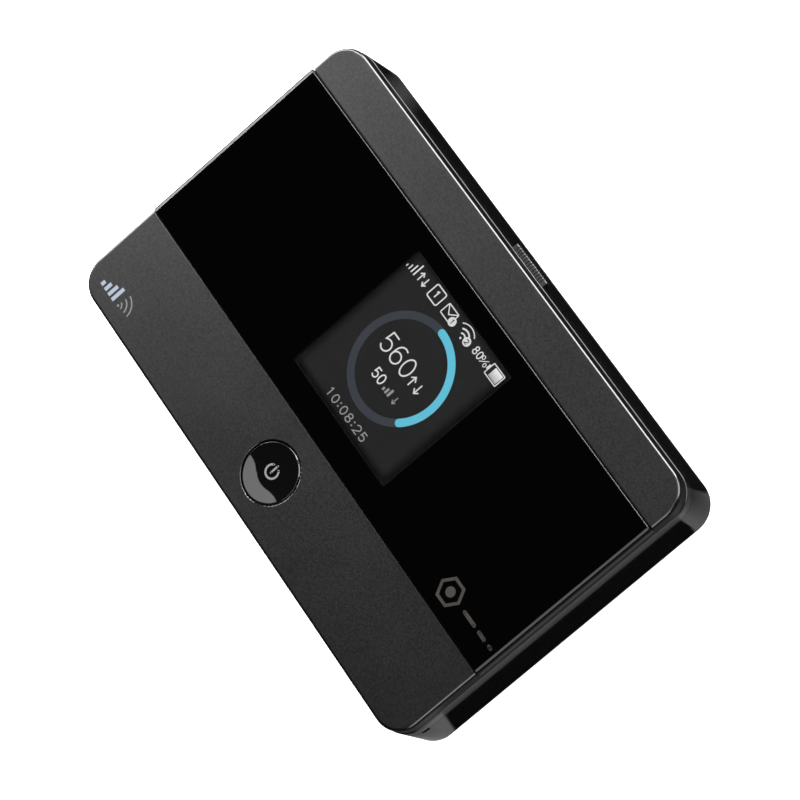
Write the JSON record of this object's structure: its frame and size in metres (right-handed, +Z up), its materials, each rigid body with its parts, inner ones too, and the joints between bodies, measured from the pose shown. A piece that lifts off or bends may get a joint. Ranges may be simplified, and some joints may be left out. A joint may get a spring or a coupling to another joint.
{
  "type": "mobile hotspot",
  "caption": "Flat pocket wireless hotspot with a full-length glossy window over a square display, a round power key, a side key and a battery under a lift-off back cover.",
  "frame": {"origin": "centre of the flat bottom face of the case", "axes": "+X along the long side, +Y towards the long side that carries the ribbed menu key, +Z up through the display"},
  "size_m": [0.106, 0.0668, 0.016],
  "materials": {
    "band_plastic": "fine spark-eroded matte",
    "window_clear": "clear polished acrylic",
    "window_black": "black print",
    "tape_black": "black tape",
    "rim_plastic": "polished",
    "cover_plastic": "polished",
    "key_plastic": "polished",
    "menu_key_plastic": "ribbed satin",
    "lcd_glass": "dark display glass",
    "light_guide": "frosted",
    "lcd_metal": "brushed",
    "foam": "closed-cell foam",
    "flex_film": "polyimide",
    "board_laminate": "solder mask",
    "shield_metal": "tinned",
    "chip_black": "moulded epoxy",
    "passive_ceramic": "ceramic",
    "connector_black": "moulded",
    "connector_ivory": "moulded",
    "switch_metal": "satin",
    "plunger_plastic": "moulded",
    "usb_metal": "satin",
    "contact_gold": "gold plated",
    "battery_shell": "wrapped cell",
    "label_white": "blank paper label",
    "label_silver": "blank foil label",
    "antenna_copper": "copper foil",
    "screw_steel": "black zinc"
  },
  "bodies": {
    "back_cover": {"back_cover": "cover_plastic"},
    "housing": {"middle_frame": "rim_plastic", "front_cover": "band_plastic", "display_window": "window_clear", "window_print": "window_black", "window_tape": "tape_black", "lcd_gasket": "foam", "lcd_panel": "lcd_glass", "lcd_light_guide": "light_guide", "lcd_frame": "lcd_metal", "lcd_flex": "flex_film", "lcd_connector": "connector_ivory", "power_switch": "switch_metal", "menu_switch": "switch_metal", "reset_switch": "switch_metal", "main_board": "board_laminate", "baseband_shield": "shield_metal", "radio_shield": "shield_metal", "wifi_shield": "shield_metal", "baseband_chip": "chip_black", "memory_chip": "chip_black", "radio_chip": "chip_black", "amplifier_chip": "chip_black", "wifi_chip": "chip_black", "power_chip": "chip_black", "board_passives": "passive_ceramic", "usb_socket_shell": "usb_metal", "usb_socket_tongue": "connector_black", "sim_socket": "shield_metal", "memory_card_socket": "shield_metal", "battery_connector": "connector_black", "battery_contact_springs": "contact_gold", "rating_label": "label_silver", "main_antenna": "antenna_copper", "diversity_antenna": "antenna_copper", "wifi_antenna": "antenna_copper", "antenna_contact_springs": "contact_gold", "case_screws": "screw_steel"},
    "battery": {"battery_pack": "battery_shell", "battery_terminals": "contact_gold", "battery_label": "label_white"},
    "power_button": {"power_button_cap": "key_plastic", "power_switch_plunger": "plunger_plastic"},
    "menu_button": {"menu_button_cap": "menu_key_plastic", "menu_switch_plunger": "plunger_plastic"},
    "reset_button": {"reset_button": "plunger_plastic"}
  },
  "joints": [
    {"name": "cover_release", "type": "slide", "parent": "back_cover", "child": "housing", "axis": [0, 0, 1], "range_m": [0, 0.03]},
    {"name": "battery_removal", "type": "slide", "parent": "housing", "child": "battery", "axis": [0, 0, -1], "range_m": [0, 0.015]},
    {"name": "power_press", "type": "slide", "parent": "housing", "child": "power_button", "axis": [0, 0, -1], "range_m": [0, 0.0003], "stiffness_N_per_m": 3000},
    {"name": "menu_press", "type": "slide", "parent": "housing", "child": "menu_button", "axis": [0, -1, 0], "range_m": [0, 0.0003], "stiffness_N_per_m": 3000},
    {"name": "reset_press", "type": "slide", "parent": "housing", "child": "reset_button", "axis": [0, 0, 1], "range_m": [0, 0.00025], "stiffness_N_per_m": 2000}
  ],
  "couplings": [
    {"joint": "battery_removal", "follows": "cover_release", "ratio": 0.5}
  ]
}
